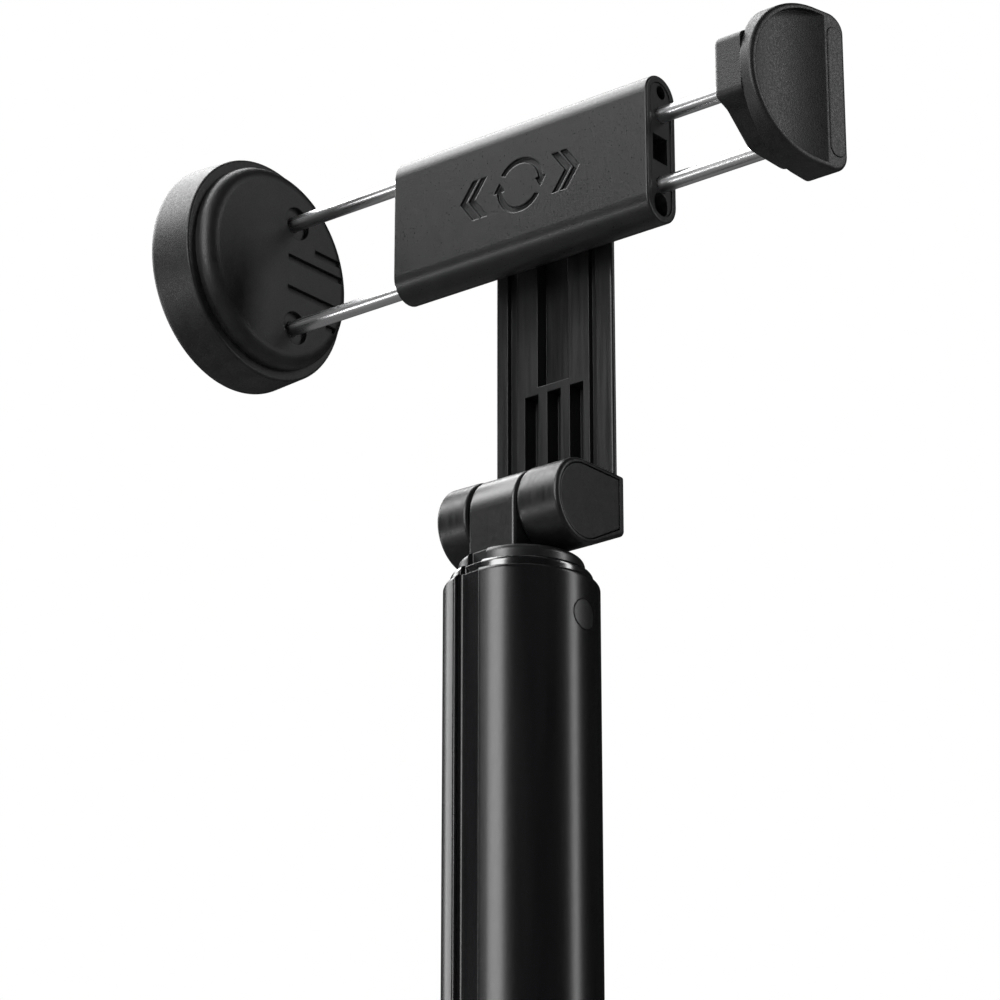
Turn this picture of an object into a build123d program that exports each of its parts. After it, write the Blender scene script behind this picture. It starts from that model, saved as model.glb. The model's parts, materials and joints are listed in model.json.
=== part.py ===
from build123d import *
import math
import os

# Selfie stick with a keyed telescopic pole, a tilting head and a spring phone clamp.
# Millimetres. +Z runs up the pole, X runs along the clamp's rods, and the clamp faces -Y.
# The origin is the mouth of the tripod thread at the middle of the handle's foot.

# fits
RUN = 0.06  # radial clearance of anything that slides or turns
SEAT = 0.02  # gap around a piece that is glued or pressed into another

# pole: four keyed tubes slide inside the outer one
RIM_Z = 232.0
TUBE_FOOT_Z = 10.0
OUTER_R = 14.0
OUTER_WALL = 1.2
OUTER_KEY = (2.75, 1.7)  # half width and depth of the lengthwise groove
KEY_TURN = -7.0  # degrees that the groove lies round from straight in front
GROOVE_LIP = 0.5
GROOVE_FLOOR = 0.8
RIM_ROUND = 1.1
INNER_R = [11.1, 9.6, 8.1, 6.6]
INNER_WALL = 0.7
INNER_KEY = [(2.4, 0.9), (2.1, 0.9), (1.9, 0.9), (1.7, 0.9)]
INNER_FOOT_Z = 65.0
COLLAR_DEPTH = 14.0
SLIDER_LENGTH = 12.0
TUBE_TOP_Z = RIM_Z + 1.0
NEST_TOP_Z = RIM_Z + 1.85  # every nested collar ends level here
LIP_R = 12.8
LIP_KEY = (2.6, 1.5)
LIP_ROUND = 1.0
PLUG_R = 2.7
PLUG_Z = RIM_Z - 8.0

# neck: a flange on the last tube, with the tongue of the hinge
FLANGE_R = 11.3
FLANGE_KEY = (2.4, 1.6)
FLANGE_FOOT_Z = RIM_Z + 1.95
FLANGE_TOP_Z = RIM_Z + 4.6
FLANGE_ROUND = 1.3
HINGE_Y = 0.6
HINGE_Z = RIM_Z + 13.5
TONGUE_R = 7.85
TONGUE_X = (-6.4, 4.2)

# head arm: two ears and the plate behind the clamp
EAR_R = 8.0
EAR_X = {"left": (-13.8, -6.7), "right": (4.5, 13.8)}
ARM_FRONT_Y = 9.6
ARM_THICK = 2.4
ARM_HALF_WIDTH = 13.6
ARM_SIDE = 0.8  # flat depth of the plate's side before its rear chamfer
CORE_HALF_WIDTH = 8.0
CORE_BACK_Y = 14.2
EAR_DROP = 3.5  # how far the ear's rear corner lies below the hinge axis
GROOVES_X = ((-10.8, -8.5), (8.2, 9.8))
GROOVE_DEPTH = 1.1
RECESS_X = (-3.75, 3.35)
RECESS_LOW_Z = RIM_Z + 42.5
RECESS_DEPTH = 2.6
POCKETS_X = (-6.75, -1.55, 3.65)  # left edges
POCKET_WIDTH = 3.1
POCKET_TOP_Z = RIM_Z + 41.1
POCKET_LOW_Z = HINGE_Z + 2.0
POCKET_DEPTH = 3.2
CAP_INSET = 0.95
CAP_DEPTH = 1.2
BOLT_R = 2.5
BOLT_HEAD_R = 4.3
NUT_R = 4.5
SWIVEL_R = 3.0

# clamp: an extruded sleeve with two sprung jaws on rods
CLAMP_Z = RIM_Z + 78.4
CLAMP_Y = 3.3
CLAMP_LENGTH = 59.7
CLAMP_THICK = 8.8
CLAMP_HEIGHT = 29.2
CLAMP_WALL = 1.3
CLAMP_FRONT_Y = CLAMP_Y - CLAMP_THICK / 2
CLAMP_BACK_Y = CLAMP_Y + CLAMP_THICK / 2
CLAMP_END_X = CLAMP_LENGTH / 2
INSERT_THICK = 3.0
INSERT_RECESS = 0.25
PICTOGRAM_X = 0.6
RING_MARK_R = 5.4
RING_STROKE = 1.1
ARROW_GAP_TURN = -20.0
CHEVRON_TIPS_X = (-13.6, -11.6, 14.5, 12.5)
CHEVRON_RUN = 3.0
CHEVRON_RISE = 4.0
CHEVRON_STROKE = 1.45
MARK_DEPTH = 0.55
ROD_R = 1.5
ROD_Y = 3.7
OUTER_ROD_RISE = 11.1  # the left jaw's rods lie outside the right jaw's
INNER_ROD_RISE = 7.0
ROD_GRIP = 4.6  # how deep a rod is held in its jaw
LEFT_ROD_END_X = -15.0
RIGHT_ROD_END_X = 13.0
SPRING_WIRE_R = 0.25
JAW_SCREW_Y = -10.0
JAW_SCREW_RISE = 7.0
RIGHT_SCREW_Y = -6.0
RIGHT_SCREW_RISE = 5.0

# left jaw: a disc that grips, with a thick, slightly flared puck behind it
LEFT_FACE_X = -58.8
DISC_R = 20.3
DISC_THICK = 3.8
DISC_ROUND = 2.8
DISC_SPIGOT_R = 16.0
SPIGOT_DEPTH = 2.5
PUCK_INNER_R = 22.3
PUCK_OUTER_R = 22.9
PUCK_THICK = 10.0
COVER_R = 17.5
COVER_THICK = 0.6
JAW_Y = -0.75
JAW_Z = CLAMP_Z + 0.6
SLITS = ((6.6, 9.0), (3.3, 1.3), (-3.3, 1.3), (-8.0, 12.5))  # rise and front end of each
SLIT_WIDTH = 1.3
SLIT_DEPTH = 0.9
SLIT_MARGIN = 2.0  # from the disc's edge to the back end of every slit

# right jaw: a pear-shaped block with a slanting, scooped D-shaped shell behind it
RIGHT_FACE_X = 54.7
RIGHT_THICK = 5.8
NOSE_Y = -15.15
NOSE_Z = (-4.9, 6.2)
WAIST_Y = -11.6
WAIST_Z = (-6.2, 8.2)
SHOULDER_Y = -5.2
SHOULDER_Z = (-11.4, 12.4)
SHELL_R = 15.4
SHELL_BACK_Y = 6.9
SHELL_FRONT_THICK = 2.4
SHELL_BACK_THICK = 7.3
SCOOP_R = 34.0
SCOOP_DEPTH = 1.7
SCOOP_MIDDLE = 7.2  # along the slanted face, from its front edge
RIM_WIDTH = 1.1
STRIP_FRONT = 18.4  # along the slanted face, from its front edge
STRIP_WIDTH = 3.4
STRIP_LENGTH = 25.2
STRIP_DEPTH = 0.9

# handle
GRIP_R = 16.0
GRIP_TOP_Z = 128.0
BUTTON_Z = 47.0
THREAD_R = 3.175
THREAD_DEPTH = 9.0
INSERT_R = 5.0
SCREW_Z = 17.0
SCREW_R = 1.2
RING_COUNT = 14
RING_LOW_Z = 66.0
RING_PITCH = 4.0

parts = {}


def keyed_bar(radius, key, low, high, grow=0.0, lip=0.12, floor=0.12):
    """A round bar with a flat-bottomed groove near -Y, grown outward by grow."""
    half_width, depth = key
    radius, half_width = radius + grow, half_width - grow
    outline = Circle(radius) - Pos(0, -radius) * Rectangle(2 * half_width, 2 * depth)
    bar = extrude(Pos(0, 0, low) * outline, high - low)
    for deep, rounding in ((False, lip), (True, floor)):
        upright = bar.edges().filter_by(Axis.Z).filter_by(lambda e: (e @ 0.5).Y < -0.6 * radius)
        wanted = upright.filter_by(lambda e: (Vector(e.center().X, e.center().Y).length < radius - 0.1) == deep)
        wanted = wanted.filter_by(lambda e: abs(e.center().X) > half_width - 0.01)
        bar = fillet(wanted, rounding)
    return Rot(0, 0, KEY_TURN) * bar


def inner_key(key, wall):
    """The groove as it shows inside a tube of that wall: wider, and as deep."""
    return key[0] + wall, key[1]


def band(outline, low, high):
    """The outline extruded from one height to another."""
    return extrude(Pos(0, 0, low) * outline, high - low)


def rod(start, end, radius):
    """A round bar between two points."""
    line = Vector(*end) - Vector(*start)
    plane = Plane(origin=start, z_dir=line.normalized())
    return extrude(plane * Circle(radius), line.length)


def side_plane(x):
    """A plane across the clamp at x, whose own X is +Y and own Y is +Z."""
    return Plane(origin=(x, 0, 0), x_dir=(0, 1, 0), z_dir=(1, 0, 0))


def rounded_cylinder(radius, low, high, top_round):
    """An upright cylinder whose top edge is rounded."""
    body = band(Circle(radius), low, high)
    return fillet(body.faces().sort_by(Axis.Z)[-1].edges(), top_round)


def spring(start, direction, length, coil_r, turns):
    """A round-wire coil spring from start, along direction."""
    coil = Helix(length / turns, length, coil_r)
    wire = sweep(Plane(coil @ 0, z_dir=coil % 0) * Circle(SPRING_WIRE_R), path=coil)
    return Plane(origin=start, z_dir=direction) * wire


# ---------------------------------------------------------------- pole

def outer_tube():
    wall_key = inner_key(OUTER_KEY, OUTER_WALL)
    tube = keyed_bar(OUTER_R, OUTER_KEY, TUBE_FOOT_Z, RIM_Z, lip=GROOVE_LIP, floor=GROOVE_FLOOR)
    tube -= keyed_bar(OUTER_R - OUTER_WALL, wall_key, TUBE_FOOT_Z - 1, RIM_Z + 1)
    tube &= rounded_cylinder(OUTER_R, TUBE_FOOT_Z, RIM_Z, RIM_ROUND)
    tube -= rod((0, 0, PLUG_Z), (20, 0, PLUG_Z), PLUG_R + SEAT)
    tube -= rod((-20, 0, SCREW_Z), (20, 0, SCREW_Z), SCREW_R + 0.1)
    tube -= Pos(0, -12, BUTTON_Z) * Box(7.4, 8, 7.4)
    return tube


def top_collar():
    """The outer tube's collar: a bush in its mouth with a rounded lip above the rim."""
    bush_key = inner_key(OUTER_KEY, OUTER_WALL)
    bush = keyed_bar(OUTER_R - OUTER_WALL, bush_key, RIM_Z - COLLAR_DEPTH, RIM_Z + 0.5, grow=-SEAT)
    lip = rounded_cylinder(LIP_R - SEAT, RIM_Z + SEAT, RIM_Z + 1.9, LIP_ROUND)
    lip &= keyed_bar(LIP_R, LIP_KEY, RIM_Z - 1, RIM_Z + 3)
    collar = bush + lip - keyed_bar(INNER_R[0], INNER_KEY[0], RIM_Z - 20, RIM_Z + 4, grow=RUN)
    collar -= rod((11.8, 0, PLUG_Z), (14, 0, PLUG_Z), PLUG_R - 0.5)
    return collar


def collar_plug():
    """The round plug, near flush with the tube, that locks the collar."""
    plug = rod((OUTER_R - OUTER_WALL + SEAT, 0, PLUG_Z), (OUTER_R + 0.5, 0, PLUG_Z), PLUG_R)
    plug &= band(Circle(OUTER_R + 0.1), PLUG_Z - 5, PLUG_Z + 5)
    plug += rod((11.9, 0, PLUG_Z), (13, 0, PLUG_Z), PLUG_R - 0.5 - SEAT)
    return plug


def inner_tube(index):
    radius, key = INNER_R[index], INNER_KEY[index]
    tube = keyed_bar(radius, key, INNER_FOOT_Z, TUBE_TOP_Z)
    bore_key = inner_key(key, INNER_WALL)
    return tube - keyed_bar(radius - INNER_WALL, bore_key, INNER_FOOT_Z - 1, TUBE_TOP_Z + 1)


def inner_collar(index):
    """The bush in the mouth of an inner tube, with a thin lip over the tube's edge."""
    radius, key = INNER_R[index], INNER_KEY[index]
    low = RIM_Z - COLLAR_DEPTH
    bush_key = inner_key(key, INNER_WALL)
    bush = keyed_bar(radius - INNER_WALL, bush_key, low, TUBE_TOP_Z + SEAT, grow=-SEAT)
    bush += keyed_bar(radius, key, TUBE_TOP_Z + SEAT, NEST_TOP_Z, grow=-SEAT)
    return bush - keyed_bar(INNER_R[index + 1], INNER_KEY[index + 1], low - 1, NEST_TOP_Z + 1, grow=RUN)


def inner_slider(index):
    """The sleeve at the foot of an inner tube that runs in the tube around it."""
    outside_r, outside_key, wall = OUTER_R, OUTER_KEY, OUTER_WALL
    if index:
        outside_r, outside_key, wall = INNER_R[index - 1], INNER_KEY[index - 1], INNER_WALL
    high = INNER_FOOT_Z + SLIDER_LENGTH
    slider = keyed_bar(outside_r - wall, inner_key(outside_key, wall), INNER_FOOT_Z, high, grow=-RUN)
    return slider - keyed_bar(INNER_R[index], INNER_KEY[index], INNER_FOOT_Z - 1, high + 1, grow=SEAT)


def neck():
    """Flange, spigot in the last tube, and the tongue between the ears."""
    last_r, last_key = INNER_R[-1] - INNER_WALL, inner_key(INNER_KEY[-1], INNER_WALL)
    flange = rounded_cylinder(FLANGE_R, FLANGE_FOOT_Z, FLANGE_TOP_Z, FLANGE_ROUND)
    flange &= keyed_bar(FLANGE_R, FLANGE_KEY, FLANGE_FOOT_Z - 1, FLANGE_TOP_Z + 1, grow=0.1)
    spigot = keyed_bar(last_r, last_key, RIM_Z - 12, FLANGE_FOOT_Z + 0.5, grow=-SEAT)
    wide = TONGUE_X[1] - TONGUE_X[0]
    eye = rod((TONGUE_X[0], HINGE_Y, HINGE_Z), (TONGUE_X[1], HINGE_Y, HINGE_Z), TONGUE_R)
    middle_x = (TONGUE_X[0] + TONGUE_X[1]) / 2
    stem_low = FLANGE_TOP_Z - 0.5
    stem = Pos(middle_x, HINGE_Y, (stem_low + HINGE_Z) / 2) * Box(wide, 2 * TONGUE_R, HINGE_Z - stem_low)
    tongue = eye + stem
    ends = tongue.faces().filter_by(Axis.X)
    rims = ends.edges().filter_by(lambda e: (e @ 0.5).Z > stem_low + 0.1)
    tongue = fillet(rims, 0.7)
    body = flange + spigot + tongue
    return body - rod((-20, HINGE_Y, HINGE_Z), (20, HINGE_Y, HINGE_Z), BOLT_R + RUN)


# ---------------------------------------------------------------- hinge and arm

def ear_outline(radius, back_y, top, drop):
    """The ear from the side: a round nose, a flat top and an underside that rises to the back."""
    nose = (Pos(HINGE_Y, HINGE_Z) * Circle(radius)).edges()
    back = Polyline((back_y, HINGE_Z + top), (back_y, HINGE_Z - drop)).edges()
    return make_hull(nose + back)


def ear(side):
    low, high = EAR_X[side]
    back_y = ARM_FRONT_Y + ARM_THICK
    outline = side_plane(low) * ear_outline(EAR_R, back_y, EAR_R, EAR_DROP)
    body = extrude(outline, high - low)
    faces = body.faces().filter_by(Axis.X).sort_by(Axis.X)
    both = faces[0].edges() + faces[-1].edges()
    rims = both.filter_by(lambda e: (e @ 0.5).Y < back_y - 0.1)
    return fillet(rims, 0.8)


def outer_face(side):
    """The x of an ear's outer face, and the sign of the direction into the ear."""
    if side == "left":
        return EAR_X["left"][0], 1
    return EAR_X["right"][1], -1


def cap_outline(x, shrink):
    """The ear's outline drawn in by the rim's width, and by shrink for the cap itself."""
    back_y = ARM_FRONT_Y + ARM_SIDE + 0.6 - shrink
    inset = CAP_INSET + shrink
    return side_plane(x) * ear_outline(EAR_R - inset, back_y, EAR_R - inset, EAR_DROP - inset)


def ear_cap(side):
    """The flat D-shaped cap, set into the ear's outer face."""
    outer_x, inward = outer_face(side)
    blank = extrude(cap_outline(outer_x + inward * 0.1, 0.12), inward * (CAP_DEPTH - 0.1 - SEAT))
    front = blank.faces().filter_by(Axis.X).sort_by(Axis.X)
    rim = (front[0] if side == "left" else front[-1]).edges()
    return fillet(rim, 0.2)


def front_pocket(left, right, low, high, depth):
    """The block to cut from the arm's front face for a pocket of that size."""
    middle = Pos((left + right) / 2, ARM_FRONT_Y, (low + high) / 2)
    return middle * Box(right - left, 2 * depth, high - low)


def arm_plate():
    """The ribbed plate: side flanges, two grooves, a thicker core with a recess and pockets."""
    low = HINGE_Z - EAR_DROP
    high = CLAMP_Z + 12.0
    tall = high - low
    back_y = ARM_FRONT_Y + ARM_THICK
    side_y = ARM_FRONT_Y + ARM_SIDE
    inset = ARM_THICK - ARM_SIDE
    section = make_face(Polyline(
        (-ARM_HALF_WIDTH, ARM_FRONT_Y), (ARM_HALF_WIDTH, ARM_FRONT_Y), (ARM_HALF_WIDTH, side_y),
        (ARM_HALF_WIDTH - inset, back_y), (CORE_HALF_WIDTH, back_y), (CORE_HALF_WIDTH - 1, CORE_BACK_Y),
        (1 - CORE_HALF_WIDTH, CORE_BACK_Y), (-CORE_HALF_WIDTH, back_y), (inset - ARM_HALF_WIDTH, back_y),
        (-ARM_HALF_WIDTH, side_y), close=True,
    ))
    front_corners = section.vertices().sort_by(Axis.Y)[:2]
    section = fillet(front_corners, 0.5)
    for left, right in GROOVES_X:
        section -= Pos((left + right) / 2, ARM_FRONT_Y) * Rectangle(right - left, 2 * GROOVE_DEPTH)
    plate = extrude(Pos(0, 0, low) * section, tall)
    plate -= Pos(0, back_y + 5, low) * Box(2 * ARM_HALF_WIDTH, 10, 2 * EAR_DROP)
    plate -= front_pocket(RECESS_X[0], RECESS_X[1], RECESS_LOW_Z, CLAMP_Z - 8, RECESS_DEPTH)
    for left in POCKETS_X:
        plate -= front_pocket(left, left + POCKET_WIDTH, POCKET_LOW_Z, POCKET_TOP_Z, POCKET_DEPTH)
    front = Plane(origin=(0, 0, high - tall), x_dir=(1, 0, 0), z_dir=(0, -1, 0))
    rounded = front * RectangleRounded(2 * ARM_HALF_WIDTH, 2 * tall, 3.0)
    return plate & extrude(rounded, -20)

def head_arm():
    """Ears and plate in one piece, with the bolt's bore and the swivel's bore."""
    body = arm_plate() + ear("left") + ear("right")
    for side in ("left", "right"):
        outer_x, inward = outer_face(side)
        body -= extrude(cap_outline(outer_x, 0.0), inward * CAP_DEPTH)
    body -= rod((-20, HINGE_Y, HINGE_Z), (20, HINGE_Y, HINGE_Z), BOLT_R + SEAT)
    body -= rod((EAR_X["left"][0], HINGE_Y, HINGE_Z), (EAR_X["left"][0] + 4.4, HINGE_Y, HINGE_Z), BOLT_HEAD_R + 0.3)
    body -= rod((EAR_X["right"][1] - 4.2, HINGE_Y, HINGE_Z), (EAR_X["right"][1], HINGE_Y, HINGE_Z), NUT_R + 0.3)
    body -= rod((0, ARM_FRONT_Y - 1, CLAMP_Z), (0, CORE_BACK_Y + 1, CLAMP_Z), SWIVEL_R + RUN)
    body -= rod((0, CORE_BACK_Y - 1.6, CLAMP_Z), (0, CORE_BACK_Y + 1, CLAMP_Z), 5.6)
    return body


def hinge_bolt():
    """Bolt with a round, socketed head in the left ear."""
    head_x = EAR_X["left"][0] + 1.6
    bolt = rod((head_x + 2.6, HINGE_Y, HINGE_Z), (EAR_X["right"][1] - 1.8, HINGE_Y, HINGE_Z), BOLT_R)
    head = rod((head_x, HINGE_Y, HINGE_Z), (head_x + 2.75, HINGE_Y, HINGE_Z), BOLT_HEAD_R)
    socket = extrude(side_plane(head_x) * Pos(HINGE_Y, HINGE_Z) * RegularPolygon(1.7, 6), 1.6)
    return bolt + head - socket


def hinge_nut():
    nut_x = EAR_X["right"][1] - 4.15
    blank = extrude(side_plane(nut_x) * Pos(HINGE_Y, HINGE_Z) * RegularPolygon(NUT_R, 6), 2.7)
    return blank - rod((nut_x, HINGE_Y, HINGE_Z), (nut_x + 3, HINGE_Y, HINGE_Z), BOLT_R + SEAT)


def hinge_washer(low, high):
    """A friction washer between the tongue and an ear."""
    ring = rod((low, HINGE_Y, HINGE_Z), (high, HINGE_Y, HINGE_Z), 6.4)
    return ring - rod((low - 1, HINGE_Y, HINGE_Z), (high + 1, HINGE_Y, HINGE_Z), BOLT_R + SEAT)


# ---------------------------------------------------------------- swivel

def swivel_stud():
    """Stud on the back of the clamp, with a square foot inside the sleeve."""
    foot = Pos(0, CLAMP_BACK_Y - CLAMP_WALL - 0.4, CLAMP_Z) * Box(8, 0.7, 8)
    shank = rod((0, CLAMP_BACK_Y - CLAMP_WALL - 0.3, CLAMP_Z), (0, CORE_BACK_Y - 1.0, CLAMP_Z), SWIVEL_R)
    return foot + shank - rod((0, 7.5, CLAMP_Z), (0, 20, CLAMP_Z), 1.25)


def swivel_washer():
    """The plastic washer between the clamp's back and the arm."""
    low, high = CLAMP_BACK_Y + 0.05, ARM_FRONT_Y - 0.05
    ring = rod((0, low, CLAMP_Z), (0, high, CLAMP_Z), 9.0)
    return ring - rod((0, 0, CLAMP_Z), (0, 20, CLAMP_Z), SWIVEL_R + 0.1)


def swivel_cup_washer():
    """The steel washer under the retaining screw's head."""
    low = CORE_BACK_Y - 1.55
    ring = rod((0, low, CLAMP_Z), (0, low + 0.5, CLAMP_Z), 5.4)
    return ring - rod((0, 0, CLAMP_Z), (0, 20, CLAMP_Z), SWIVEL_R + 0.1)


def swivel_screw():
    low = CORE_BACK_Y - 0.95
    head = rod((0, low, CLAMP_Z), (0, low + 1.9, CLAMP_Z), 4.4)
    head = fillet(head.faces().sort_by(Axis.Y)[-1].edges(), 0.9)
    shank = rod((0, 8.2, CLAMP_Z), (0, low + 0.5, CLAMP_Z), 1.2)
    slot = Pos(0, low + 1.7, CLAMP_Z) * (Box(4.4, 1.4, 0.9) + Box(0.9, 1.4, 4.4))
    return head + shank - slot


# ---------------------------------------------------------------- clamp body

def sleeve_outline(shrink):
    """The sleeve's section: full-round top and bottom edges."""
    tall = CLAMP_HEIGHT - 2 * shrink
    thick = CLAMP_THICK - 2 * shrink
    return Pos(CLAMP_Y, CLAMP_Z) * SlotOverall(tall, thick, rotation=90)


def chevron(tip_x, way):
    """One angle bracket of the pictogram, its tip at tip_x and its arms toward way."""
    back_x = tip_x + way * CHEVRON_RUN
    wide = way * CHEVRON_STROKE
    corners = [
        (tip_x, 0), (back_x, CHEVRON_RISE), (back_x + wide, CHEVRON_RISE),
        (tip_x + wide, 0), (back_x + wide, -CHEVRON_RISE), (back_x, -CHEVRON_RISE),
    ]
    return make_face(Polyline(*corners, close=True))


def pictogram():
    """Two arrows that chase each other in a ring, between double chevrons."""
    middle = RING_MARK_R - RING_STROKE / 2
    ring = Circle(RING_MARK_R) - Circle(RING_MARK_R - RING_STROKE)
    ring -= Rot(0, 0, ARROW_GAP_TURN) * Rectangle(3.0 * RING_MARK_R, 2.6)
    head = make_face(Polyline((middle - 1.3, 0.3), (middle + 1.3, 0.3), (middle, -1.7), close=True))
    ring += head + Rot(0, 0, 180) * head
    marks = Pos(PICTOGRAM_X, 0) * ring
    for tip_x in CHEVRON_TIPS_X:
        marks += chevron(tip_x, 1 if tip_x < 0 else -1)
    return marks


def clamp_sleeve():
    sleeve = extrude(side_plane(-CLAMP_END_X) * sleeve_outline(0), CLAMP_LENGTH)
    sleeve = fillet(sleeve.faces().filter_by(Axis.X).edges(), 0.35)
    sleeve -= extrude(side_plane(-40) * sleeve_outline(CLAMP_WALL), 80)
    face = Plane(origin=(0, CLAMP_FRONT_Y, CLAMP_Z), x_dir=(1, 0, 0), z_dir=(0, -1, 0))
    sleeve -= extrude(face * pictogram(), -MARK_DEPTH)
    return sleeve - rod((0, CLAMP_Y, CLAMP_Z), (0, 20, CLAMP_Z), SWIVEL_R + SEAT)


def rod_hole(rise, x):
    return rod((x - 4, ROD_Y, CLAMP_Z + rise), (x + 4, ROD_Y, CLAMP_Z + rise), ROD_R + RUN)


def end_insert(side):
    """The plastic plug in a mouth of the sleeve, which guides one jaw's rods."""
    outer_x = CLAMP_END_X - INSERT_RECESS
    sign = 1 if side == "right" else -1
    x = sign * (outer_x - INSERT_THICK / 2)
    low = x - INSERT_THICK / 2
    plug = extrude(side_plane(low) * sleeve_outline(CLAMP_WALL + SEAT), INSERT_THICK)
    rise = INNER_ROD_RISE if side == "right" else OUTER_ROD_RISE
    for way in (-1, 1):
        plug -= rod_hole(way * rise, x)
    if side == "left":
        return plug
    plug -= rod((x - 1, CLAMP_Y + 0.5, CLAMP_Z + 11.6), (x + 4, CLAMP_Y + 0.5, CLAMP_Z + 11.6), 1.3)
    plug -= Pos(x + 0.6, CLAMP_Y, CLAMP_Z) * Box(INSERT_THICK, 4.4, 5.2)
    plug -= extrude(side_plane(x - 0.9) * Pos(CLAMP_Y, CLAMP_Z - 11.0) * SlotOverall(4.6, 4.0, rotation=90), 4)
    return plug


def jaw_rod(side, way):
    """One polished rod, rounded at its inner end."""
    rise = way * (OUTER_ROD_RISE if side == "left" else INNER_ROD_RISE)
    if side == "left":
        ends = (LEFT_FACE_X - ROD_GRIP, LEFT_ROD_END_X)
    else:
        ends = (RIGHT_ROD_END_X, RIGHT_FACE_X + ROD_GRIP)
    return rod((ends[0], ROD_Y, CLAMP_Z + rise), (ends[1], ROD_Y, CLAMP_Z + rise), ROD_R)

def left_slider():
    """Blocks on the left rods, joined by a thin plate in front of the right rods."""
    x = LEFT_ROD_END_X - 2.0
    slider = Pos(x, CLAMP_FRONT_Y + CLAMP_WALL + 0.75, CLAMP_Z) * Box(4, 0.9, 2 * OUTER_ROD_RISE)
    for way in (-1, 1):
        rise = way * OUTER_ROD_RISE
        slider += rod((x - 2, ROD_Y, CLAMP_Z + rise), (x + 2, ROD_Y, CLAMP_Z + rise), 2.15)
        slider += Pos(x, 1.9, CLAMP_Z + rise) * Box(4, 3.0, 2.6)
    slider &= extrude(side_plane(x - 2) * sleeve_outline(CLAMP_WALL + 0.15), 4)
    for way in (-1, 1):
        rise = way * OUTER_ROD_RISE
        slider -= rod((x - 3, ROD_Y, CLAMP_Z + rise), (x + 3, ROD_Y, CLAMP_Z + rise), ROD_R + SEAT)
    return slider


def right_slider():
    """The block that joins the right rods and pushes on the middle spring."""
    x = RIGHT_ROD_END_X + 2.0
    slider = Pos(x, ROD_Y + 0.05, CLAMP_Z) * Box(4, 3.4, 2 * INNER_ROD_RISE + 3.4)
    for way in (-1, 1):
        rise = way * INNER_ROD_RISE
        slider -= rod((x - 3, ROD_Y, CLAMP_Z + rise), (x + 3, ROD_Y, CLAMP_Z + rise), ROD_R + SEAT)
    return slider


# ---------------------------------------------------------------- jaws

def across(x, y, z):
    """A plane across the clamp at that point, whose own X is +Y and own Y is +Z."""
    return Plane(origin=(x, y, z), x_dir=(0, 1, 0), z_dir=(1, 0, 0))


def screw_pair(y, rise, head_x, neck_x, tip_x, head_r):
    """Two small screws along X, as separate solids of one node."""
    screws = []
    for way in (-1, 1):
        z = CLAMP_Z + way * rise
        screws.append(rod((head_x, y, z), (neck_x, y, z), head_r) + rod((neck_x, y, z), (tip_x, y, z), 0.85))
    return Compound(children=[screw.solids()[0] for screw in screws])


def left_disc():
    """The gripping disc, with counterbored rod holes and four slits."""
    disc = extrude(across(LEFT_FACE_X - DISC_THICK, JAW_Y, JAW_Z) * Circle(DISC_R), DISC_THICK)
    disc = fillet(disc.faces().sort_by(Axis.X)[-1].edges(), DISC_ROUND)
    spigot_plane = across(LEFT_FACE_X - DISC_THICK - SPIGOT_DEPTH, JAW_Y, JAW_Z)
    disc += extrude(spigot_plane * Circle(DISC_SPIGOT_R), SPIGOT_DEPTH + 0.2)
    for way in (-1, 1):
        z = CLAMP_Z + way * OUTER_ROD_RISE
        disc -= rod((LEFT_FACE_X - ROD_GRIP, ROD_Y, z), (LEFT_FACE_X + 1, ROD_Y, z), ROD_R + SEAT)
        disc -= rod((LEFT_FACE_X - 1.0, ROD_Y, z), (LEFT_FACE_X + 1, ROD_Y, z), 3.3)
        screw_z = CLAMP_Z + way * JAW_SCREW_RISE
        disc -= rod((-80, JAW_SCREW_Y, screw_z), (LEFT_FACE_X - 2.1, JAW_SCREW_Y, screw_z), 0.9)
    slit_plane = across(LEFT_FACE_X - SLIT_DEPTH, JAW_Y, JAW_Z)
    for rise, start_y in SLITS:
        slit = Pos(LEFT_FACE_X, start_y + 10, CLAMP_Z + rise) * Box(2 * SLIT_DEPTH, 20, SLIT_WIDTH)
        slit &= extrude(slit_plane * Circle(DISC_R - SLIT_MARGIN), 2 * SLIT_DEPTH)
        disc -= slit
    return disc


def left_puck():
    """The thick round shell behind the disc, recessed to take it."""
    inner_x = LEFT_FACE_X - DISC_THICK - SEAT
    outer_x = inner_x - PUCK_THICK
    puck = loft([
        across(outer_x, JAW_Y, JAW_Z) * Circle(PUCK_OUTER_R),
        across(inner_x, JAW_Y, JAW_Z) * Circle(PUCK_INNER_R),
    ])
    ends = puck.faces().sort_by(Axis.X)
    puck = fillet(ends[-1].edges(), 0.5)
    puck = fillet(puck.faces().sort_by(Axis.X)[0].edges(), 1.8)
    puck -= extrude(across(inner_x - SPIGOT_DEPTH - SEAT, JAW_Y, JAW_Z) * Circle(DISC_SPIGOT_R + SEAT), 5)
    puck -= extrude(across(outer_x - 1, JAW_Y, JAW_Z) * Circle(COVER_R), COVER_THICK + 1)
    for way in (-1, 1):
        z = CLAMP_Z + way * JAW_SCREW_RISE
        puck -= rod((outer_x, JAW_SCREW_Y, z), (inner_x, JAW_SCREW_Y, z), 1.1)
        puck -= rod((outer_x, JAW_SCREW_Y, z), (inner_x - 5.0, JAW_SCREW_Y, z), 2.1)
    return puck


def left_cover():
    """The thin round cover over the puck's outer face and its screws."""
    x = LEFT_FACE_X - DISC_THICK - PUCK_THICK
    return extrude(across(x, JAW_Y, JAW_Z) * Circle(COVER_R - SEAT), COVER_THICK - 2 * SEAT)


def left_jaw_screws():
    """Two screws that pull the puck onto the disc."""
    x = LEFT_FACE_X - DISC_THICK
    return screw_pair(JAW_SCREW_Y, JAW_SCREW_RISE, x - 6.6, x - 5.05, x + 1.4, 1.9)


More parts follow.
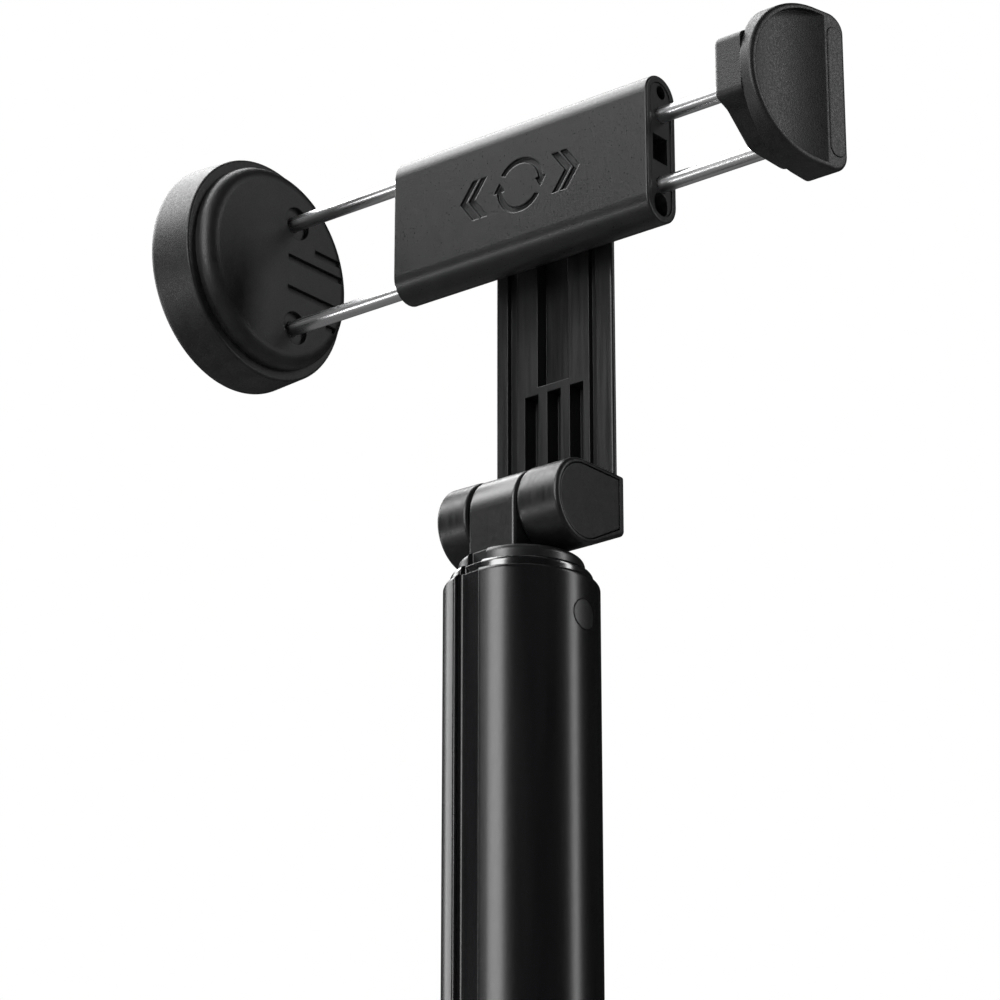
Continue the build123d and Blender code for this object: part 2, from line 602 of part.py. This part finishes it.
def pear_outline():
    """The block's face: a blunt nose in front that widens to a flat back."""
    rows = [(NOSE_Y, NOSE_Z), (WAIST_Y, WAIST_Z), (SHOULDER_Y, SHOULDER_Z), (SHELL_BACK_Y, SHOULDER_Z)]
    upper = [(y, high) for y, (low, high) in rows]
    lower = [(y, low) for y, (low, high) in reversed(rows)]
    face = make_face(Polyline(*upper, *lower, close=True))
    for y, rounding in ((NOSE_Y, 1.6), (WAIST_Y, 3.0), (SHOULDER_Y, 4.0), (SHELL_BACK_Y, 3.0)):
        corners = face.vertices().filter_by(lambda v: abs(v.X - y) < 0.1)
        face = fillet(corners, rounding)
    return face


def right_block():
    """The gripping block of the right jaw."""
    block = extrude(across(RIGHT_FACE_X, 0, CLAMP_Z) * pear_outline(), RIGHT_THICK)
    block = fillet(block.faces().sort_by(Axis.X)[0].edges(), 1.0)
    for way in (-1, 1):
        z = CLAMP_Z + way * INNER_ROD_RISE
        block -= rod((RIGHT_FACE_X - 1, ROD_Y, z), (RIGHT_FACE_X + ROD_GRIP, ROD_Y, z), ROD_R + SEAT)
        screw_z = CLAMP_Z + way * RIGHT_SCREW_RISE
        block -= rod((RIGHT_FACE_X + 1, RIGHT_SCREW_Y, screw_z), (RIGHT_FACE_X + 10, RIGHT_SCREW_Y, screw_z), 0.9)
    return block


def d_outline():
    """The shell's outline: a half circle in front, straight sides and a flat back."""
    front = Circle(SHELL_R) & Pos(-SHELL_R, 0) * Rectangle(2 * SHELL_R, 2 * SHELL_R)
    outline = front + Pos(SHELL_BACK_Y / 2, 0) * Rectangle(SHELL_BACK_Y, 2 * SHELL_R)
    return fillet(outline.vertices().sort_by(Axis.X)[-2:], 3.5)


def slanted_face():
    """The plane of the shell's outer face: own X runs back from its front edge, own Y is +Z."""
    rise = SHELL_BACK_THICK - SHELL_FRONT_THICK
    tilt = math.atan2(rise, SHELL_R + SHELL_BACK_Y)
    return Plane(
        origin=(RIGHT_FACE_X + RIGHT_THICK + SHELL_FRONT_THICK, -SHELL_R, CLAMP_Z),
        x_dir=(math.sin(tilt), math.cos(tilt), 0),
        z_dir=(math.cos(tilt), -math.sin(tilt), 0),
    )


def right_shell():
    """The outer shell: thin at the front, thick at the back, with a shallow scoop."""
    low_x = RIGHT_FACE_X + RIGHT_THICK + SEAT
    face = slanted_face()
    shell = extrude(across(low_x, 0, CLAMP_Z) * d_outline(), 2 * SHELL_BACK_THICK)
    shell -= face * Pos(0, 0, 20) * Box(80, 80, 40)
    shell = fillet(shell.faces().sort_by(Axis.X)[-1].edges(), 0.8)
    scoop = face * Pos(SCOOP_MIDDLE, 0, SCOOP_R - SCOOP_DEPTH) * Rot(90, 0, 0) * Cylinder(SCOOP_R, 60)
    scoop &= extrude(across(low_x + 1, 0, CLAMP_Z) * offset(d_outline(), -RIM_WIDTH), 2 * SHELL_BACK_THICK)
    shell -= scoop
    shell -= extrude(face * strip_outline(SEAT), -STRIP_DEPTH)
    for way in (-1, 1):
        z = CLAMP_Z + way * RIGHT_SCREW_RISE
        shell -= rod((low_x - 1, RIGHT_SCREW_Y, z), (low_x + 1.2, RIGHT_SCREW_Y, z), 1.9)
    return shell


def strip_outline(grow):
    slot = SlotOverall(STRIP_LENGTH + 2 * grow, STRIP_WIDTH + 2 * grow, rotation=90)
    return Pos(STRIP_FRONT + STRIP_WIDTH / 2, 0) * slot


def right_strip():
    """The slim inlaid strip along the shell's back edge."""
    start = slanted_face() * Pos(0, 0, SEAT - STRIP_DEPTH)
    strip = extrude(start * strip_outline(0), STRIP_DEPTH - SEAT + 0.15)
    return strip


def right_jaw_screws():
    """Two screws that hold the shell to the block."""
    x = RIGHT_FACE_X + RIGHT_THICK
    return screw_pair(RIGHT_SCREW_Y, RIGHT_SCREW_RISE, x + 1.2, x + 0.1, RIGHT_FACE_X + 1.3, 1.8)


# ---------------------------------------------------------------- handle

def grip():
    """The rubber sleeve, with shallow rings and a window for the button."""
    sleeve = band(Circle(GRIP_R), TUBE_FOOT_Z + SEAT, GRIP_TOP_Z)
    sleeve = fillet(sleeve.faces().sort_by(Axis.Z)[-1].edges(), 1.0)
    sleeve -= keyed_bar(OUTER_R, OUTER_KEY, 0, GRIP_TOP_Z + 1, grow=SEAT, lip=GROOVE_LIP, floor=GROOVE_FLOOR)
    for ring in range(RING_COUNT):
        z = RING_LOW_Z + ring * RING_PITCH
        sleeve -= Pos(0, 0, z) * Torus(GRIP_R + 0.25, 0.7)
    window = Plane(origin=(0, -GRIP_R - 1, BUTTON_Z), x_dir=(1, 0, 0), z_dir=(0, 1, 0))
    return sleeve - extrude(window * SlotOverall(17.0, 9.6, rotation=90), 5)

def base_cap():
    """The foot of the handle, with a spigot in the tube and a seat for the thread insert."""
    cap = band(Circle(GRIP_R), 0, TUBE_FOOT_Z - SEAT)
    cap = fillet(cap.faces().sort_by(Axis.Z)[0].edges(), 1.5)
    spigot_key = inner_key(OUTER_KEY, OUTER_WALL)
    cap += keyed_bar(OUTER_R - OUTER_WALL, spigot_key, TUBE_FOOT_Z - 0.5, 22.0, grow=-SEAT)
    cap -= band(Circle(INSERT_R + SEAT), -1, THREAD_DEPTH + 1.5)
    return cap - rod((-20, 0, SCREW_Z), (20, 0, SCREW_Z), SCREW_R - 0.2)

def tripod_insert():
    """The metal bush with the tripod thread's core bore."""
    insert = band(Circle(INSERT_R), 0, THREAD_DEPTH + 1.4)
    insert = chamfer(insert.faces().sort_by(Axis.Z)[0].edges(), 0.3)
    return insert - band(Circle(THREAD_R), 0, THREAD_DEPTH)


def base_screws():
    """Two short screws through the tube into the cap, hidden by the grip."""
    screws = []
    for way in (-1, 1):
        head = rod((way * 12.9, 0, SCREW_Z), (way * 13.9, 0, SCREW_Z), SCREW_R)
        shank = rod((way * 7.0, 0, SCREW_Z), (way * 13.0, 0, SCREW_Z), SCREW_R - 0.25)
        screws.append(head + shank)
    return Compound(children=[s.solids()[0] for s in screws])


def facing_front(y, height):
    """A plane at y whose Z points to -Y, out of the front of the handle."""
    return Plane(origin=(0, y, height), x_dir=(1, 0, 0), z_dir=(0, -1, 0))


def button_frame():
    """The oval frame around the shutter button."""
    frame = extrude(facing_front(-14.1, BUTTON_Z) * SlotOverall(16.8, 9.4, rotation=90), 2.5)
    front = frame.faces().filter_by(Axis.Y).sort_by(Axis.Y)[0]
    frame = fillet(front.edges(), 0.5)
    return frame - extrude(facing_front(-10, BUTTON_Z) * SlotOverall(13.2, 6.2, rotation=90), 10)


def shutter_button():
    """The oval push button and its stem, which reaches in to the switch."""
    cap = extrude(facing_front(-15.0, BUTTON_Z) * SlotOverall(13.0, 6.0, rotation=90), 2.2)
    front = cap.faces().filter_by(Axis.Y).sort_by(Axis.Y)[0]
    cap = fillet(front.edges(), 0.6)
    return cap + rod((0, -15.5, BUTTON_Z), (0, -8.2, BUTTON_Z), 1.6)


def button_spring():
    return spring((0, -9.0, BUTTON_Z), (0, -1, 0), 5.6, 2.3, 4)


def board_carrier():
    """The tray that holds the circuit board upright inside the tube."""
    outline = Circle(12.6) & Pos(0, 4) * Rectangle(30, 17.2)
    tray = band(outline, 22.5, 62.0)
    tray -= Pos(0, -2.2, 42.2) * Box(21.4, 5.6, 36.6)
    tray -= rod((0, -2, 42), (0, 3.0, 42), 8.3)
    return tray


def circuit_board():
    board = Pos(0, -4.1, 42.2) * Box(20.0, 1.0, 36.0)
    return board - rod((7.5, -10, 28), (7.5, 0, 28), 0.7) - rod((-7.5, -10, 28), (-7.5, 0, 28), 0.7)


def tact_switch():
    body = Pos(0, -5.6, BUTTON_Z) * Box(6.0, 1.9, 6.0)
    return body + rod((0, -6.4, BUTTON_Z), (0, -7.6, BUTTON_Z), 1.4)


def coin_cell():
    cell = rod((0, -1.5, 42), (0, 1.7, 42), 8.0)
    return fillet(cell.faces().filter_by(Axis.Y).edges(), 0.3)


def battery_clip():
    """The sprung strip that presses the cell towards the board."""
    strip = Pos(0, 2.3, 42) * Box(4.0, 0.4, 12.0)
    return strip + Pos(0, 2.0, 42) * Box(2.0, 0.5, 3.0)


def board_screws():
    screws = []
    for way in (-1, 1):
        head = rod((way * 7.5, -5.7, 28), (way * 7.5, -4.65, 28), 1.2)
        shank = rod((way * 7.5, -4.7, 28), (way * 7.5, -3.7, 28), 0.6)
        screws.append(head + shank)
    return Compound(children=[s.solids()[0] for s in screws])


# ---------------------------------------------------------------- springs of the clamp

def left_spring(way):
    """The coil round a left rod, from the end insert to the slider."""
    start_x = -(CLAMP_END_X - INSERT_RECESS - INSERT_THICK) + 0.3
    end_x = LEFT_ROD_END_X - 4.3
    return spring((start_x, ROD_Y, CLAMP_Z + way * OUTER_ROD_RISE), (1, 0, 0), end_x - start_x, 1.85, 9)


def right_spring():
    """The coil in the middle of the sleeve, from the slider to the right insert."""
    start_x = RIGHT_ROD_END_X + 4.3
    end_x = CLAMP_END_X - INSERT_RECESS - INSERT_THICK - 0.3
    return spring((start_x, ROD_Y - 0.15, CLAMP_Z), (1, 0, 0), end_x - start_x, 1.7, 8)


def build():
    parts["outer_tube"] = outer_tube()
    parts["top_collar"] = top_collar()
    parts["collar_plug"] = collar_plug()
    for index in range(4):
        number = index + 2
        parts[f"tube_{number}"] = inner_tube(index)
        parts[f"tube_{number}_slider"] = inner_slider(index)
        if index < 3:
            parts[f"tube_{number}_collar"] = inner_collar(index)
    parts["neck"] = neck()
    parts["head_arm"] = head_arm()
    parts["hinge_bolt"] = hinge_bolt()
    parts["hinge_nut"] = hinge_nut()
    parts["hinge_washer_left"] = hinge_washer(EAR_X["left"][1] + 0.02, TONGUE_X[0] - 0.02)
    parts["hinge_washer_right"] = hinge_washer(TONGUE_X[1] + 0.02, EAR_X["right"][0] - 0.02)
    parts["swivel_stud"] = swivel_stud()
    parts["swivel_washer"] = swivel_washer()
    parts["swivel_cup_washer"] = swivel_cup_washer()
    parts["swivel_screw"] = swivel_screw()
    parts["clamp_sleeve"] = clamp_sleeve()
    for side in ("left", "right"):
        parts[f"ear_cap_{side}"] = ear_cap(side)
        parts[f"end_insert_{side}"] = end_insert(side)
        for way, word in ((1, "upper"), (-1, "lower")):
            parts[f"{side}_rod_{word}"] = jaw_rod(side, way)
    parts["left_slider"] = left_slider()
    parts["right_slider"] = right_slider()
    parts["left_spring_upper"] = left_spring(1)
    parts["left_spring_lower"] = left_spring(-1)
    parts["right_spring"] = right_spring()
    parts["left_jaw_disc"] = left_disc()
    parts["left_jaw_puck"] = left_puck()
    parts["left_jaw_cover"] = left_cover()
    parts["left_jaw_screws"] = left_jaw_screws()
    parts["right_jaw_block"] = right_block()
    parts["right_jaw_shell"] = right_shell()
    parts["right_jaw_strip"] = right_strip()
    parts["right_jaw_screws"] = right_jaw_screws()
    parts["grip"] = grip()
    parts["base_cap"] = base_cap()
    parts["tripod_insert"] = tripod_insert()
    parts["base_screws"] = base_screws()
    parts["button_frame"] = button_frame()
    parts["shutter_button"] = shutter_button()
    parts["button_spring"] = button_spring()
    parts["board_carrier"] = board_carrier()
    parts["circuit_board"] = circuit_board()
    parts["tact_switch"] = tact_switch()
    parts["coin_cell"] = coin_cell()
    parts["battery_clip"] = battery_clip()
    parts["board_screws"] = board_screws()


build()
os.makedirs("parts", exist_ok=True)
for name, shape in parts.items():
    shape.label = name
    export_step(shape, f"parts/{name}.step")
print(len(parts), "nodes")
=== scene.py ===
"""Looks of a telescopic selfie stick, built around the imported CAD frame.

Metres, +Z up the pole, +X along the clamp's rods, -Y out of the clamp's front face.
"""
import json

import bpy
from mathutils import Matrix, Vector


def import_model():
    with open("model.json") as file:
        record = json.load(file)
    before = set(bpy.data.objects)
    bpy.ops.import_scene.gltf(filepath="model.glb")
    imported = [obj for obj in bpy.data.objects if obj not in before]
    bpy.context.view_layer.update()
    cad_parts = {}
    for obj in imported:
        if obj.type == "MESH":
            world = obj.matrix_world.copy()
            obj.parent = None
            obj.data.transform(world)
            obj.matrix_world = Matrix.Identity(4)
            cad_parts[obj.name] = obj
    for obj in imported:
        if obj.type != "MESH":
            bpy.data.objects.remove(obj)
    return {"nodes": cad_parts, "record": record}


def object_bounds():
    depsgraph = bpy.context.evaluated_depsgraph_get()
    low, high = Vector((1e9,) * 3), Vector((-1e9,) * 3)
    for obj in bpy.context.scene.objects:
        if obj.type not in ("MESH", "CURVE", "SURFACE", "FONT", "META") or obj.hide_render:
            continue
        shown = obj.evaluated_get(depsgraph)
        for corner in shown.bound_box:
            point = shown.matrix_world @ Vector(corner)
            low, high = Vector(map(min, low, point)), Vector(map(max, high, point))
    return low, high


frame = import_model()
cad_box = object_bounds()
nodes = frame["nodes"]

MM = 0.001

# camera: upright, looking up at the clamp from in front and from the small jaw's side
CAMERA_PLACE = (389.13 * MM, -489.60 * MM, 12.53 * MM)
CAMERA_FORWARD = (-0.5866, 0.7288, 0.3532)
CAMERA_LENS = 134.4
CAMERA_SENSOR = 36.0
CAMERA_NEAR = 0.01

# floor
FLOOR_DROP = 0.2 * MM  # the floor lies this far under the foot
FLOOR_REACH = 6.0

# surroundings: strengths, and heights of a direction from -1, straight down, to 1, straight up
SKY_GLOW = 0.015  # what the object mirrors above the horizon
GROUND_GLOW = 0.14  # and below it
OVERHEAD_GLOW = 1.7  # keeps the floor pale
SEEN_GLOW = 1.0  # the white behind the object
MIRRORED_HEIGHTS = (-0.4, 0.05)
OVERHEAD_HEIGHTS = (0.2, 1.0)
ALL_HEIGHTS = (-1.0, 1.0)

# lights: name, place, width and height, watts
LIGHTS_AIM = (0.0, 0.0, 0.28)
LIGHTS = (
    ("key_strip", (0.0, -1.0, 0.62), (0.40, 0.9), 8.6),
    ("side_strip", (0.90, 0.50, 0.62), (0.20, 0.9), 3.2),
    ("rim_strip", (-1.0, 0.08, 0.62), (0.3, 0.9), 2.6),
    ("left_screen", (-0.48, -0.48, 1.06), (0.65, 0.5), 2.6),
    ("low_strip", (-0.66, -0.60, 0.07), (0.6, 0.10), 1.3),
    ("top", (-0.56, 0.0, 0.95), (0.9, 0.7), 11.0),
)

# textures
NOISE_RANGE = (0.3, 0.7)  # nearly all of a noise texture's values lie in here
BEVEL_SAMPLES = 6


# ---------------------------------------------------------------- materials

def grey(level, cool=0.0005):
    """A grey with a little more blue in it, or less where cool is negative."""
    return (level, level, level + cool)


class Surface:
    """A Principled material with helpers for the textures that vary over it."""

    def __init__(self, name, **sockets):
        """Sockets are those of the shader that are the same all over the surface."""
        self.material = bpy.data.materials.new(name)
        self.material.use_nodes = True
        self.tree = self.material.node_tree
        self.shader = self.tree.nodes["Principled BSDF"]
        self.fill(self.shader, sockets)
        self.coordinates = self.tree.nodes.new("ShaderNodeTexCoord").outputs["Object"]
        self.normal = None

    def fill(self, node, sockets):
        """Sets a node's sockets, named with underscores for their spaces."""
        for key, value in sockets.items():
            node.inputs[key.replace("_", " ")].default_value = value

    def node(self, kind, **sockets):
        made = self.tree.nodes.new(kind)
        self.fill(made, sockets)
        return made

    def link(self, start, end):
        self.tree.links.new(start, end)

    def noise(self, size, stretch=(1, 1, 1), detail=3.0):
        """Noise whose features are about size metres, drawn out along each axis by stretch."""
        mapping = self.node("ShaderNodeMapping", Scale=[1 / (size * s) for s in stretch])
        self.link(self.coordinates, mapping.inputs["Vector"])
        noise = self.node("ShaderNodeTexNoise", Scale=1.0, Detail=detail, Roughness=0.5)
        self.link(mapping.outputs["Vector"], noise.inputs["Vector"])
        return noise.outputs["Fac"]

    def ranged(self, noise, low, high):
        """The noise, spread from low to high."""
        start, end = NOISE_RANGE
        spread = self.node("ShaderNodeMapRange", From_Min=start, From_Max=end, To_Min=low, To_Max=high)
        self.link(noise, spread.inputs["Value"])
        return spread.outputs["Result"]

    def tint(self, noise, low, high):
        """Base colour from low to high as the noise rises."""
        mix = self.node("ShaderNodeMix")
        mix.data_type = "RGBA"
        colors = [s for s in mix.inputs if s.type == "RGBA"]
        for socket, color in zip(colors, (low, high)):
            socket.default_value = (*color, 1.0)
        self.link(self.ranged(noise, 0.0, 1.0), mix.inputs["Factor"])
        mixed = [s for s in mix.outputs if s.type == "RGBA"][0]
        self.link(mixed, self.shader.inputs["Base Color"])

    def gloss(self, noise, low, high):
        """Roughness from low to high as the noise rises."""
        self.link(self.ranged(noise, low, high), self.shader.inputs["Roughness"])

    def shade(self, normal):
        self.normal = normal
        self.link(normal, self.shader.inputs["Normal"])

    def rounded(self, radius):
        """Softens the look of every edge by radius metres."""
        bevel = self.node("ShaderNodeBevel", Radius=radius)
        bevel.samples = BEVEL_SAMPLES
        self.shade(bevel.outputs["Normal"])

    def bump(self, noise, height, strength):
        """Raises the surface by up to height metres as the noise rises."""
        bump = self.node("ShaderNodeBump", Strength=strength, Distance=height)
        self.link(noise, bump.inputs["Height"])
        if self.normal is not None:
            self.link(self.normal, bump.inputs["Normal"])
        self.shade(bump.outputs["Normal"])


def pole_anodised():
    """Smooth, glossy black, drawn out along the tube."""
    s = Surface("pole_anodised")
    s.tint(s.noise(3 * MM, stretch=(1, 1, 14)), low=grey(0.002), high=grey(0.004))
    s.gloss(s.noise(0.4 * MM, stretch=(1, 1, 6)), low=0.24, high=0.27)
    s.rounded(0.3 * MM)
    s.bump(s.noise(0.10 * MM), height=0.0025 * MM, strength=0.3)
    return s.material


def clamp_anodised():
    """Blasted and anodised: a fine even grain."""
    s = Surface("clamp_anodised")
    s.tint(s.noise(4 * MM), low=grey(0.004), high=grey(0.006))
    s.gloss(s.noise(0.35 * MM, detail=4.0), low=0.27, high=0.43)
    s.rounded(0.3 * MM)
    s.bump(s.noise(0.26 * MM, detail=4.0), height=0.022 * MM, strength=0.7)
    return s.material


def arm_black():
    """Faint lines up the ribs, as from an extrusion or a mould."""
    s = Surface("arm_black")
    lines = s.noise(0.35 * MM, stretch=(1, 1, 60), detail=2.0)
    s.tint(lines, low=grey(0.002), high=grey(0.005))
    s.gloss(s.noise(0.8 * MM, stretch=(1, 1, 20)), low=0.30, high=0.42)
    s.rounded(0.22 * MM)
    s.bump(lines, height=0.016 * MM, strength=0.6)
    return s.material


def gloss_black():
    """Lacquered plastic."""
    lacquer = {"Specular_IOR_Level": 1.0, "Coat_Weight": 1.0, "Coat_Roughness": 0.14}
    s = Surface("gloss_black", Base_Color=(*grey(0.002), 1.0), **lacquer)
    s.gloss(s.noise(2.5 * MM), low=0.15, high=0.23)
    s.rounded(0.3 * MM)
    s.bump(s.noise(0.9 * MM), height=0.004 * MM, strength=0.3)
    return s.material


def neck_satin():
    """Cast and painted metal."""
    s = Surface("neck_satin", Specular_IOR_Level=0.7)
    s.tint(s.noise(3 * MM), low=grey(0.005), high=grey(0.008))
    s.gloss(s.noise(0.9 * MM), low=0.28, high=0.34)
    s.rounded(0.35 * MM)
    s.bump(s.noise(0.25 * MM), height=0.002 * MM, strength=0.2)
    return s.material


def satin_black():
    """Moulded plastic with a fine grain."""
    s = Surface("satin_black")
    s.tint(s.noise(2 * MM), low=grey(0.004), high=grey(0.007))
    s.gloss(s.noise(0.4 * MM), low=0.30, high=0.40)
    s.rounded(0.22 * MM)
    s.bump(s.noise(0.18 * MM), height=0.012 * MM, strength=0.5)
    return s.material


def jaw_black():
    """Moulded plastic, duller than satin and with a coarser grain."""
    s = Surface("jaw_black")
    s.tint(s.noise(2.5 * MM), low=grey(0.003), high=grey(0.006))
    s.gloss(s.noise(0.4 * MM, detail=4.0), low=0.36, high=0.54)
    s.rounded(0.25 * MM)
    s.bump(s.noise(0.30 * MM, detail=4.0), height=0.045 * MM, strength=0.8)
    return s.material


def slider_grey():
    s = Surface("slider_grey", Roughness=0.5)
    s.tint(s.noise(2 * MM), low=grey(0.10, cool=0.005), high=grey(0.13, cool=0.005))
    s.bump(s.noise(0.3 * MM), height=0.01 * MM, strength=0.5)
    return s.material


def polished_steel():
    """Drawn rods: fine scratches along X."""
    s = Surface("polished_steel", Metallic=1.0)
    s.tint(s.noise(1.2 * MM, stretch=(20, 1, 1)), low=grey(0.82, cool=0.01), high=grey(0.93, cool=0.01))
    s.gloss(s.noise(0.3 * MM, stretch=(40, 1, 1)), low=0.25, high=0.36)
    s.bump(s.noise(0.12 * MM, stretch=(60, 1, 1)), height=0.002 * MM, strength=0.4)
    return s.material


def plated_steel():
    s = Surface("plated_steel", Metallic=1.0)
    s.tint(s.noise(0.8 * MM), low=grey(0.46, cool=0.02), high=grey(0.58, cool=0.02))
    s.gloss(s.noise(0.25 * MM), low=0.24, high=0.38)
    s.rounded(0.12 * MM)
    s.bump(s.noise(0.15 * MM), height=0.006 * MM, strength=0.5)
    return s.material


def spring_steel():
    s = Surface("spring_steel", Metallic=1.0)
    s.tint(s.noise(0.5 * MM), low=grey(0.38, cool=0.02), high=grey(0.48, cool=0.02))
    s.gloss(s.noise(0.2 * MM), low=0.26, high=0.40)
    return s.material


def washer_nylon():
    s = Surface("washer_nylon", Roughness=0.5)
    s.tint(s.noise(1.5 * MM), low=grey(0.62, cool=-0.03), high=grey(0.70, cool=-0.03))
    s.bump(s.noise(0.25 * MM), height=0.01 * MM, strength=0.4)
    return s.material


def grip_rubber():
    s = Surface("grip_rubber", Sheen_Weight=0.12, Sheen_Roughness=0.5)
    s.tint(s.noise(5 * MM), low=grey(0.009), high=grey(0.013))
    s.gloss(s.noise(0.7 * MM), low=0.56, high=0.70)
    s.rounded(0.25 * MM)
    s.bump(s.noise(0.28 * MM, detail=4.0), height=0.03 * MM, strength=0.6)
    return s.material


def button_rubber():
    s = Surface("button_rubber", Roughness=0.55)
    s.tint(s.noise(2 * MM), low=grey(0.068, cool=0.004), high=grey(0.088, cool=0.004))
    s.rounded(0.2 * MM)
    s.bump(s.noise(0.25 * MM), height=0.02 * MM, strength=0.5)
    return s.material


def turned_brass():
    s = Surface("turned_brass", Metallic=1.0)
    s.tint(s.noise(1.0 * MM), low=(0.56, 0.43, 0.21), high=(0.68, 0.53, 0.28))
    s.gloss(s.noise(0.3 * MM), low=0.22, high=0.36)
    s.rounded(0.12 * MM)
    return s.material


def board_green():
    s = Surface("board_green", Roughness=0.35)
    s.tint(s.noise(1.2 * MM, detail=0.0), low=(0.015, 0.10, 0.04), high=(0.03, 0.15, 0.07))
    return s.material


def switch_black():
    s = Surface("switch_black", Roughness=0.45)
    s.tint(s.noise(0.8 * MM), low=grey(0.026, cool=0.0), high=grey(0.036, cool=0.0))
    return s.material


def cell_steel():
    s = Surface("cell_steel", Base_Color=(*grey(0.6, cool=0.02), 1.0), Metallic=1.0)
    s.gloss(s.noise(0.4 * MM, stretch=(1, 1, 8)), low=0.24, high=0.36)
    return s.material


NODE_MATERIALS = {
    "clamp_sleeve": clamp_anodised,
    "collar_plug": satin_black,
    "neck": neck_satin,
}
SLOT_MATERIALS = {
    "black_anodised": pole_anodised,
    "gloss_black_plastic": gloss_black,
    "arm_black": arm_black,
    "satin_black_plastic": satin_black,
    "slider_grey": slider_grey,
    "jaw_black": jaw_black,
    "polished_steel": polished_steel,
    "plated_steel": plated_steel,
    "spring_steel": spring_steel,
    "washer_plastic": washer_nylon,
    "grip_rubber": grip_rubber,
    "button_rubber": button_rubber,
    "insert_brass": turned_brass,
    "board_green": board_green,
    "switch_black": switch_black,
    "cell_steel": cell_steel,
}


def dress_nodes():
    """Every CAD node gets its finish, by its own name first and by its material slot otherwise."""
    made = {}
    for entry in frame["record"]["subparts"]:
        maker = NODE_MATERIALS.get(entry["node"]) or SLOT_MATERIALS[entry["material_slot"]]
        if maker not in made:
            made[maker] = maker()
        piece = nodes[entry["node"]]
        piece.data.materials.clear()
        piece.data.materials.append(made[maker])


# ---------------------------------------------------------------- stage

def floor():
    """A plain pale floor under the foot, which glossy surfaces don't mirror."""
    mesh = bpy.data.meshes.new("floor")
    z = cad_box[0][2] - FLOOR_DROP
    turns = ((-1, -1), (1, -1), (1, 1), (-1, 1))
    mesh.from_pydata([(x * FLOOR_REACH, y * FLOOR_REACH, z) for x, y in turns], [], [(0, 1, 2, 3)])
    plane = bpy.data.objects.new("floor", mesh)
    bpy.context.scene.collection.objects.link(plane)
    s = Surface("floor_paint", Roughness=0.7, Specular_IOR_Level=0.2)
    s.tint(s.noise(0.5), low=grey(0.78, cool=0.0), high=grey(0.82, cool=0.0))
    mesh.materials.append(s.material)
    plane.visible_glossy = False


def background(tree, height, heights, strengths):
    """A white glow that goes from the first strength to the second between the two heights."""
    glow = tree.nodes.new("ShaderNodeBackground")
    glow.inputs["Color"].default_value = (1.0, 1.0, 1.0, 1.0)
    rise = tree.nodes.new("ShaderNodeMapRange")
    for key, number in zip(("From Min", "From Max", "To Min", "To Max"), (*heights, *strengths)):
        rise.inputs[key].default_value = number
    tree.links.new(height, rise.inputs["Value"])
    tree.links.new(rise.outputs["Result"], glow.inputs["Strength"])
    return glow.outputs["Background"]


def chosen(tree, factor, no, yes):
    """The first surroundings where the factor is 0, and the second where it is 1."""
    mix = tree.nodes.new("ShaderNodeMixShader")
    tree.links.new(factor, mix.inputs["Fac"])
    tree.links.new(no, mix.inputs[1])
    tree.links.new(yes, mix.inputs[2])
    return mix.outputs["Shader"]


def world():
    """White to the eye; mirrored dimly, and paler below the horizon; lights the floor from overhead."""
    sky = bpy.data.worlds.new("studio")
    bpy.context.scene.world = sky
    sky.use_nodes = True
    sky.cycles.sampling_method = "NONE"
    tree = sky.node_tree
    tree.nodes.clear()
    place = tree.nodes.new("ShaderNodeTexCoord")
    split = tree.nodes.new("ShaderNodeSeparateXYZ")
    tree.links.new(place.outputs["Generated"], split.inputs["Vector"])
    height = split.outputs["Z"]
    path = tree.nodes.new("ShaderNodeLightPath")
    mirrored = background(tree, height, MIRRORED_HEIGHTS, (GROUND_GLOW, SKY_GLOW))
    overhead = background(tree, height, OVERHEAD_HEIGHTS, (0.0, OVERHEAD_GLOW))
    seen = background(tree, height, ALL_HEIGHTS, (SEEN_GLOW, SEEN_GLOW))
    around = chosen(tree, path.outputs["Is Diffuse Ray"], mirrored, overhead)
    around = chosen(tree, path.outputs["Is Camera Ray"], around, seen)
    out = tree.nodes.new("ShaderNodeOutputWorld")
    tree.links.new(around, out.inputs["Surface"])


def facing(direction):
    """The rotation of a camera or lamp that looks along the direction."""
    return Vector(direction).to_track_quat("-Z", "Y").to_euler()


def softbox(name, place, size, watts):
    """A rectangular area light, turned to the head and hidden from the camera."""
    data = bpy.data.lights.new(name, "AREA")
    data.shape = "RECTANGLE"
    data.size, data.size_y = size
    data.energy = watts
    lamp = bpy.data.objects.new(name, data)
    bpy.context.scene.collection.objects.link(lamp)
    lamp.location = place
    lamp.visible_camera = False
    lamp.rotation_euler = facing(Vector(LIGHTS_AIM) - Vector(place))


def camera():
    data = bpy.data.cameras.new("camera")
    data.lens = CAMERA_LENS
    data.sensor_width = CAMERA_SENSOR
    data.clip_start = CAMERA_NEAR
    view = bpy.data.objects.new("camera", data)
    bpy.context.scene.collection.objects.link(view)
    view.location = CAMERA_PLACE
    view.rotation_euler = facing(CAMERA_FORWARD)
    bpy.context.scene.camera = view


camera()
dress_nodes()
floor()
world()
for light in LIGHTS:
    softbox(*light)
bpy.context.scene.view_settings.view_transform = "Standard"
